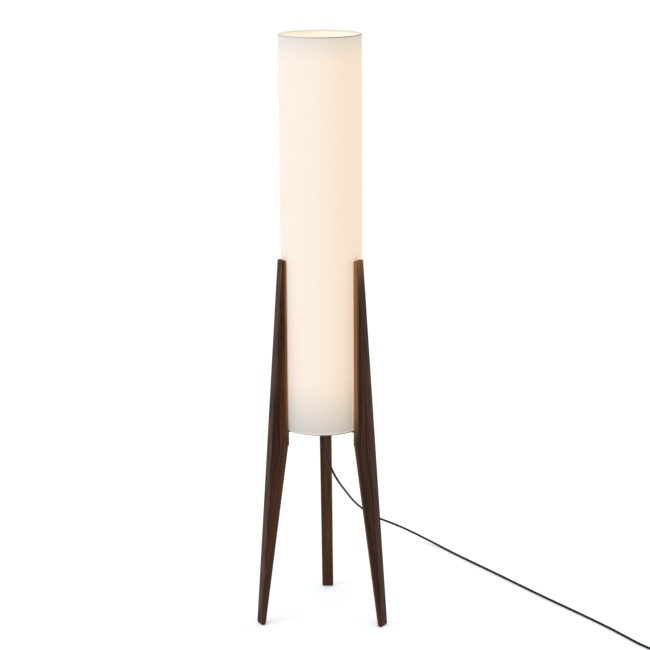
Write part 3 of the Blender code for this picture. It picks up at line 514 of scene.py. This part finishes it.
for seed, (side, angle) in enumerate(LEG_ANGLES.items()):
    outline = [
        (LEG_REACH - LEG_FOOT_DEPTH, leg_low.z), (LEG_REACH, leg_low.z),
        (LEG_INNER + LEG_TOP_DEPTH, leg_high.z), (LEG_INNER, leg_high.z), (LEG_INNER, KNEE),
    ]
    shape = bmesh.new()
    face = shape.faces.new([shape.verts.new((x, -LEG_WIDTH / 2, z)) for x, z in outline])
    grown = bmesh.ops.extrude_face_region(shape, geom=[face])
    far_side = [item for item in grown["geom"] if isinstance(item, bmesh.types.BMVert)]
    bmesh.ops.translate(shape, vec=(0, LEG_WIDTH, 0), verts=far_side)
    bmesh.ops.recalc_face_normals(shape, faces=shape.faces)
    mesh = bpy.data.meshes.new(f"walnut_leg_{side}")
    shape.to_mesh(mesh)
    shape.free()
    leg = bpy.data.objects.new(f"walnut_leg_{side}", mesh)
    leg.matrix_world = Matrix.Translation(AXIS) @ Matrix.Rotation(math.radians(angle), 4, "Z")
    bpy.context.scene.collection.objects.link(leg)
    eased_edge = leg.modifiers.new("eased", "BEVEL")
    eased_edge.width = LEG_EDGE
    eased_edge.segments = 4
    eased_edge.limit_method = "ANGLE"
    eased_edge.harden_normals = True
    mesh.shade_smooth()
    knot = KNOT if side == "left" else None
    leg_glow = STRONG_GLOW_LEG if side == "right" else WEAK_GLOW_LEG
    coat(leg, walnut_finish(f"walnut_{side}", GRAIN_STEP * seed, knot=knot, **leg_glow))
    finish_piece(leg, "stand", [f"leg_{side}"])


# ---- foot pads ----
# Dense pressed felt, dark brown, glued under each foot. Each is the frame's own plain pad, as it is too
# thin for more shape to show.

felt = Finish("felt", Roughness=0.97)
fibre = felt.noise(1500.0, 4.0)
felt.set(Base_Color=felt.mix((0.030, 0.023, 0.020), (0.075, 0.060, 0.052), fibre))
felt.bump(fibre, 0.0003)
for side in LEG_ANGLES:
    coat(nodes[f"foot_pad_{side}"], felt.material)


# ---- carrier and its screws ----
# A welded steel hub with three arms under the shade, powder-coated satin black, screwed into the legs. The
# side plate that holds the lower bulb has the same coat.

black_coat = Finish("black_coat", Metallic=0.0, Specular_IOR_Level=0.5)
peel = black_coat.noise(700.0, 2.0)
black_coat.set(Base_Color=black_coat.mix((0.012, 0.012, 0.013), (0.024, 0.024, 0.025), peel))
black_coat.set(Roughness=peel * 0.2 + 0.36)
black_coat.bump(peel, 0.00008)
for name in ("carrier", "side_plate"):
    coat(nodes[name], black_coat.material)
for name in nodes:
    if name.startswith("leg_screw"):
        coat(nodes[name], black_coat.material)


# ---- stem and its nuts ----
# Zinc-plated threaded lamp pipe with flat washers and hexagon nuts. The thread is too fine to model, so it
# is a bump along the pipe's height.

zinc = metal("zinc_plate", (0.46, 0.47, 0.48), (0.64, 0.65, 0.66), 0.34, 420.0)
PIPE_OUTER = (stem_high.x - stem_low.x) / 2
PIPE_INNER = 0.0038
PIPE_THREAD = 0.001
AT_AXIS = Matrix.Translation(AXIS)
pipe_finish = Finish("threaded_zinc", Metallic=1.0)
rise = (pipe_finish.along("Z") * (2 * math.pi / PIPE_THREAD)).sine()
speckle = pipe_finish.noise(420.0)
pipe_finish.set(Base_Color=pipe_finish.mix((0.44, 0.45, 0.46), (0.64, 0.65, 0.66), speckle))
pipe_finish.set(Roughness=speckle * 0.2 + 0.26)
pipe_finish.bump(rise * 0.5 + 0.5, 0.00025)
pipe_profile = [
    (PIPE_INNER, stem_low.z), (PIPE_OUTER - 0.0004, stem_low.z), (PIPE_OUTER, stem_low.z + 0.0004),
    (PIPE_OUTER, stem_high.z - 0.0004), (PIPE_OUTER - 0.0004, stem_high.z), (PIPE_INNER, stem_high.z),
]
piece_of(
    "lamp_pipe", lathe(pipe_profile, MIDDLE_SIDES, AT_AXIS), "stand", ["stem"], pipe_finish.material
)
for name in nodes:
    if name.startswith(("hub_nut", "hub_washer", "plate_nut", "nipple")) or name == "grip_screw":
        coat(nodes[name], zinc)


# ---- lampholders ----
# Black moulded holders in two screwed halves, with brass inside, one on the stem and one on the side plate.
# The shell is ribbed to grip and the cap is a bell.

holder_black = moulded("holder_black", (0.016, 0.015, 0.015), (0.028, 0.027, 0.026), 0.28, 800.0, 0.00004)
brass = metal("brass", (0.62, 0.44, 0.17), (0.84, 0.64, 0.30), 0.26, 600.0)
SHELL_WALL = 0.0042
SHELL_HOLE = 0.003
RIBS = 7
RIBS_START = 0.006
RIB_PITCH = 0.0035
RIB_DEPTH = 0.0007
CAP_HOLE = 0.0053
CAP_NECK = 0.0088
BELL_STEPS = 8
for place in ("upper", "lower"):
    shell_low, shell_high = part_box(f"holder_{place}_shell")
    cap_low, cap_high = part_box(f"holder_{place}_cap")
    at_holder = Matrix.Translation(((shell_low.x + shell_high.x) / 2, (shell_low.y + shell_high.y) / 2, 0.0))
    outer = (shell_high.x - shell_low.x) / 2
    bore = outer - SHELL_WALL
    floor_top = shell_low.z + SHELL_WALL
    shell_profile = [(SHELL_HOLE, shell_low.z), (outer - 0.0006, shell_low.z), (outer, shell_low.z + 0.0006)]
    for rib in range(RIBS):
        height = shell_low.z + RIBS_START + rib * RIB_PITCH
        shell_profile += [(outer, height), (outer - RIB_DEPTH, height + 0.0006)]
        shell_profile += [(outer - RIB_DEPTH, height + 0.0012), (outer, height + 0.0018)]
    shell_profile += [
        (outer, shell_high.z - 0.0015), (outer - 0.0006, shell_high.z - 0.0004),
        (outer - 0.0015, shell_high.z),
        (bore, shell_high.z), (bore, floor_top), (SHELL_HOLE, floor_top),
    ]
    piece_of(
        f"holder_{place}_outer_shell", lathe(shell_profile, LARGE_SIDES, at_holder), "stand",
        [f"holder_{place}_shell"], holder_black,
    )
    cap_profile = [(CAP_HOLE, cap_low.z), (0.0079, cap_low.z)]
    cap_profile += [(0.0085, cap_low.z + 0.0006), (0.0085, cap_low.z + 0.0068)]
    for step in range(BELL_STEPS + 1):
        share = step / BELL_STEPS
        flare = CAP_NECK + (outer - CAP_NECK) * math.sin(share * math.pi / 2)
        cap_profile.append((flare, cap_low.z + 0.0072 + 0.0085 * share * share))
    cap_profile += [
        (outer, cap_high.z - 0.0006), (outer - 0.0006, cap_high.z), (outer - 0.0015, cap_high.z),
        (outer - 0.0016, cap_low.z + 0.0172), (CAP_HOLE, cap_low.z + 0.0092),
    ]
    piece_of(
        f"holder_{place}_bell", lathe(cap_profile, LARGE_SIDES, at_holder), "stand", [f"holder_{place}_cap"],
        holder_black,
    )
    coat(nodes[f"holder_{place}_contact"], brass)
    coat(nodes[f"holder_{place}_sleeve"], brass)


# ---- bulbs ----
# Opal glass lamps with rolled screw caps. The glass is frosted white inside and glows evenly when lit, and
# the thread is cut into the cap as a real spiral.

opal = Finish("opal_glass", Roughness=0.16, Emission_Strength=0.75)
milk = opal.noise(40.0)
opal.set(Base_Color=opal.mix((0.34, 0.31, 0.25), (0.40, 0.37, 0.31), milk))
opal.set(Emission_Color=opal.mix((1.0, 0.80, 0.52), (1.0, 0.86, 0.62), milk))
opal.bump(milk, 0.00002)
cap_metal = metal("cap_plate", (0.58, 0.58, 0.57), (0.74, 0.74, 0.73), 0.28, 700.0)
THREAD_PITCH = 0.0036
THREAD_DEPTH = 0.0008
THREAD_RINGS = 60
GLASS_RADIUS = 0.030
GLASS_JOIN = math.radians(-35)
COLLAR = 0.003

for place in ("upper", "lower"):
    body = f"bulb_{place}"
    glass_low, glass_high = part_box(f"bulb_{place}_envelope")
    cap_low, cap_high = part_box(f"bulb_{place}_cap")
    at_bulb = Matrix.Translation(((cap_low.x + cap_high.x) / 2, (cap_low.y + cap_high.y) / 2, 0.0))
    neck = (cap_high.x - cap_low.x) / 2
    middle = glass_high.z - GLASS_RADIUS
    join_radius = GLASS_RADIUS * math.cos(GLASS_JOIN)
    join_height = middle + GLASS_RADIUS * math.sin(GLASS_JOIN)
    outer = [(neck - 0.0006, glass_low.z), (neck, glass_low.z + COLLAR)]
    for step in range(1, 12):
        share = step / 12
        outer.append((
            neck + (join_radius - neck) * share * share * (1.6 - 0.6 * share),
            glass_low.z + COLLAR + (join_height - glass_low.z - COLLAR) * share,
        ))
    for step in range(25):
        swing = GLASS_JOIN + (math.pi / 2 - GLASS_JOIN) * step / 24
        outer.append((max(GLASS_RADIUS * math.cos(swing), 0.0), middle + GLASS_RADIUS * math.sin(swing)))
    outer[-1] = (0.0, glass_high.z)
    closed = [(0.0, glass_low.z), *outer]
    piece_of(
        f"bulb_{place}_globe", lathe(closed, LARGE_SIDES, at_bulb), body, [f"bulb_{place}_envelope"],
        opal.material, 60.0,
    )
    shape = bmesh.new()
    thread_low, thread_high = cap_low.z + 0.0052, cap_high.z
    loops = []
    for ring in range(THREAD_RINGS + 1):
        height = thread_low + (thread_high - thread_low) * ring / THREAD_RINGS
        fade = eased(height, thread_low, thread_low + 0.002)
        fade *= 1 - eased(height, thread_high - 0.004, thread_high - 0.001)
        loop = []
        for spoke in range(LARGE_SIDES):
            swing = 2 * math.pi * spoke / LARGE_SIDES
            wave = 0.5 + 0.5 * math.cos(2 * math.pi * height / THREAD_PITCH - swing)
            radius = neck - THREAD_DEPTH * wave * fade
            loop.append(shape.verts.new((radius * math.cos(swing), radius * math.sin(swing), height)))
        loops.append(loop)
    tip_rings = [(0.009, thread_low - 0.0009), (0.005, cap_low.z + 0.0015), (0.0042, cap_low.z + 0.0003)]
    for radius, height in tip_rings:
        loop = []
        for spoke in range(LARGE_SIDES):
            swing = 2 * math.pi * spoke / LARGE_SIDES
            loop.append(shape.verts.new((radius * math.cos(swing), radius * math.sin(swing), height)))
        loops.insert(0, loop)
    for lower, upper in zip(loops, loops[1:]):
        for spoke in range(LARGE_SIDES):
            beside = (spoke + 1) % LARGE_SIDES
            shape.faces.new((lower[spoke], lower[beside], upper[beside], upper[spoke]))
    tip = shape.verts.new((0.0, 0.0, cap_low.z))
    for spoke in range(LARGE_SIDES):
        shape.faces.new((loops[0][(spoke + 1) % LARGE_SIDES], loops[0][spoke], tip))
    shape.faces.new(loops[-1])
    bmesh.ops.transform(shape, matrix=at_bulb, verts=shape.verts)
    piece_of(f"bulb_{place}_screw_cap", shape, body, [f"bulb_{place}_cap"], cap_metal, 50.0)


# ---- cord grip and fixed wires ----
# A matt black nylon grip on the end of the stem, and the insulated wires inside it and to the side holder.
# They are the frame's own pieces, and the switch's inner block shares the wires' finish.

nylon = moulded("nylon", (0.012, 0.012, 0.012), (0.021, 0.021, 0.021), 0.5, 1400.0, 0.00006)
coat(nodes["cord_grip"], nylon)
insulation = moulded("insulation", (0.70, 0.70, 0.67), (0.80, 0.80, 0.77), 0.45, 900.0, 0.00004)
for name in ("wire_upper", "wire_lower", "switch_block"):
    coat(nodes[name], insulation)


# ---- shade ----
# Off-white woven fabric glued round a stiff white liner, its ends turned over two wire rings. Lit from
# inside, it glows cream, fading towards both ends, with a strip of painted light behind each leg for the
# glow caught between leg and cloth, and the cloth's colour painted darker towards the bottom as painted
# shade. Its rolled edges stay unlit, and are painted pale on the left, where the window light falls, and
# dark on the right.

SHADE_RADIUS = 0.100
SHADE_SIDES = 192
HEM = 0.0055
EDGE = 0.0016
THREAD = 0.00085
ROLL_ACROSS = 0.0006
CLOTH_STEPS = 60
CLOTH_LIP = 0.0004
GLOW_NEAR_BOTTOM = (-0.060, 0.156)
GLOW_NEAR_TOP = (-0.075, 0.065)
LEG_GLOW_EDGE = (0.83, 0.90)

linen = Finish("linen", Roughness=0.92, Emission_Strength=1.0, Sheen_Weight=0.15)
lx, ly, lz = (linen.along(axis) for axis in "XYZ")
bearing = linen.node("Math", {"operation": "ARCTAN2"}, {0: ly - AXIS.y, 1: lx})
warp = (bearing * (SHADE_RADIUS * 2 * math.pi / THREAD)).sine()
weft = (lz * (2 * math.pi / THREAD)).sine()
over = warp * weft
slub = linen.noise(46.0, 4.0, linen.stretched(1.0, 1.0, 9.0))
cloud = linen.noise(7.0, 2.0)
cloth_colour = linen.mix((0.515, 0.485, 0.428), (0.567, 0.537, 0.480), over * 0.28 + slub * 0.72)
lit_low = lz.ramp(*(shade_low.z + reach for reach in GLOW_NEAR_BOTTOM))
lit_high = 1 - lz.ramp(*(shade_high.z + reach for reach in GLOW_NEAR_TOP))
lit = lit_low * lit_high * (cloud * 0.10 + 0.95)
glow = linen.mix((0.0, 0.0, 0.0), (0.345, 0.215, 0.104), lit)
# A strip of painted light behind each leg, for the shade's glow caught between leg and cloth.
beside_leg = (bearing * len(LEG_ANGLES) + math.pi).sine()
painted_leg_glow = beside_leg.ramp(*LEG_GLOW_EDGE) * (1 - lz.ramp(leg_high.z - 0.004, leg_high.z + 0.006))
glow = linen.mix(glow, (0.66, 0.50, 0.27), painted_leg_glow * (lit_low * 0.26 + 0.14))
# Painted shade: the cloth's colour darkens towards the bottom, where the glow fades.
cloth_colour = linen.mix((0.455, 0.415, 0.358), cloth_colour, lit_low * 0.7 + 0.3)
linen.set(Base_Color=cloth_colour, Emission_Color=glow)
linen.bump(over * 0.5 + slub * 0.6, 0.00022, 0.6)

fabric_profile = [(SHADE_RADIUS - 0.0006, shade_low.z), (SHADE_RADIUS + 0.0002, shade_low.z)]
for step in range(CLOTH_STEPS + 1):
    climb = (shade_high.z - shade_low.z - 2 * CLOTH_LIP) * step / CLOTH_STEPS
    fabric_profile.append((SHADE_RADIUS, shade_low.z + CLOTH_LIP + climb))
fabric_profile += [(SHADE_RADIUS + 0.0002, shade_high.z), (SHADE_RADIUS - 0.0006, shade_high.z)]
fabric = piece_of(
    "shade_cloth", lathe(fabric_profile, SHADE_SIDES, AT_AXIS), "shade", ["shade_fabric"],
    linen.material,
)

hem_finish = Finish("hem", Roughness=0.93, Emission_Strength=1.0)
hem_slub = hem_finish.noise(60.0, 4.0, hem_finish.stretched(1.0, 1.0, 9.0))
hem_finish.set(Base_Color=hem_finish.mix((0.525, 0.485, 0.43), (0.595, 0.55, 0.49), hem_slub))
hem_finish.set(Emission_Color=hem_finish.mix((0.10, 0.062, 0.03), (0.15, 0.095, 0.05), hem_slub))
hem_weft = (hem_finish.along("Z") * (2 * math.pi / THREAD)).sine()
hem_finish.bump(hem_weft * 0.4 + hem_slub, 0.0002, 0.6)
edge_finish = Finish("rolled_edge", Roughness=0.55)
edge_cloud = edge_finish.noise(90.0)
# Painted light and shade: the rolled edges are pale on the left, where the window light falls, and dark on
# the right.
painted_window_light = edge_finish.along("X").ramp(-0.085, 0.045)
edge_light_and_shade = edge_finish.mix((0.40, 0.385, 0.39), (0.058, 0.048, 0.043), painted_window_light)
edge_finish.set(Base_Color=edge_finish.mix(edge_light_and_shade, (0.12, 0.10, 0.09), edge_cloud * 0.3))
edge_finish.bump(edge_cloud, 0.00008)


def oval(radius, height, across, up, sides):
    """A closed oval profile of (radius, height)."""
    swings = [2 * math.pi * step / sides for step in range(sides)]
    return [(radius + across * math.cos(swing), height + up * math.sin(swing)) for swing in swings]


for end, rim, inside in (("bottom", shade_low.z, 1), ("top", shade_high.z, -1)):
    fold = rim + inside * EDGE
    reach = rim + inside * HEM
    band = [(SHADE_RADIUS + 0.0001, fold), (SHADE_RADIUS + 0.0004, fold + inside * 0.0002)]
    band += [(SHADE_RADIUS + 0.0004, reach - inside * 0.0003), (SHADE_RADIUS + 0.0001, reach)]
    piece_of(
        f"shade_hem_{end}", lathe(band, SHADE_SIDES, AT_AXIS), "shade", [], hem_finish.material
    )
    roll = oval(SHADE_RADIUS - 0.0002, rim + inside * EDGE / 2, ROLL_ACROSS, EDGE / 2, 12)
    piece_of(
        f"shade_edge_{end}", lathe(roll, SHADE_SIDES, AT_AXIS), "shade", [], edge_finish.material,
        80.0,
    )

liner = Finish("liner", Roughness=0.45, Emission_Strength=1.0)
haze = liner.noise(12.0)
liner.set(Base_Color=liner.mix((0.60, 0.57, 0.50), (0.66, 0.63, 0.56), haze))
# The bulbs' light on the liner is painted in as a glow, brighter towards the top.
liner_lit = liner.along("Z").ramp(0.45, 1.0) * (haze * 0.3 + 0.7)
liner.set(Emission_Color=liner.mix((0.27, 0.23, 0.17), (0.38, 0.33, 0.25), liner_lit))
liner.bump(haze, 0.00005)
coat(nodes["shade_liner"], liner.material)
ring_white = Finish("ring_white", Roughness=0.35)
ring_cloud = ring_white.noise(300.0)
ring_white.set(Base_Color=ring_white.mix((0.66, 0.65, 0.61), (0.76, 0.75, 0.71), ring_cloud))
ring_white.bump(ring_cloud, 0.00005)
for end in ("bottom", "top"):
    ring_low, ring_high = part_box(f"shade_ring_{end}")
    wire = (ring_high.z - ring_low.z) / 2
    ring_radius = (ring_high.x - ring_low.x) / 2 - wire
    hoop = oval(ring_radius, ring_low.z + wire, wire, wire, 16)
    piece_of(
        f"shade_hoop_{end}", lathe(hoop, SHADE_SIDES, AT_AXIS), "shade", [f"shade_ring_{end}"],
        ring_white.material, 80.0,
    )


# ---- floor and light ----
# A plain white studio floor under soft even light, with a large cool window light from the left and a weak
# warm fill from the right.

FLOOR_HALF = 80
FLOOR_DROP = 0.0005
corners = [(-1, -1), (1, -1), (1, 1), (-1, 1)]
floor_mesh = bpy.data.meshes.new("floor")
floor_mesh.from_pydata([(x * FLOOR_HALF, y * FLOOR_HALF, 0) for x, y in corners], [], [(0, 1, 2, 3)])
floor = bpy.data.objects.new("floor", floor_mesh)
floor.location = (0.0, 0.0, -FLOOR_DROP)
bpy.context.scene.collection.objects.link(floor)
floor_finish = Finish("studio_floor", Roughness=0.9, Emission_Strength=0.17)
floor_finish.shader.inputs["Base Color"].default_value = (0.86, 0.86, 0.86, 1.0)
floor_finish.shader.inputs["Emission Color"].default_value = (1.0, 1.0, 1.0, 1.0)
coat(floor, floor_finish.material)

world = bpy.data.worlds.new("studio")
world.use_nodes = True
world.node_tree.nodes["Background"].inputs["Color"].default_value = (1.0, 1.0, 1.0, 1.0)
world.node_tree.nodes["Background"].inputs["Strength"].default_value = 1.0
bpy.context.scene.world = world
bpy.context.scene.view_settings.view_transform = "Standard"


def softbox(name, place, target, size, power, colour):
    """A square soft light at a place, turned to face its target."""
    light = bpy.data.lights.new(name, "AREA")
    light.size = size
    light.energy = power
    light.color = colour
    lamp = bpy.data.objects.new(name, light)
    lamp.location = place
    lamp.rotation_euler = (Vector(target) - Vector(place)).to_track_quat("-Z", "Y").to_euler()
    bpy.context.scene.collection.objects.link(lamp)


softbox("window", (-3.4, -2.6, 2.2), (0, 0, 0.8), 2.6, 84.0, (0.40, 0.64, 1.0))
softbox("fill", (2.8, -3.2, 2.6), (0, 0, 0.6), 2.4, 14.0, (1.0, 0.96, 0.90))
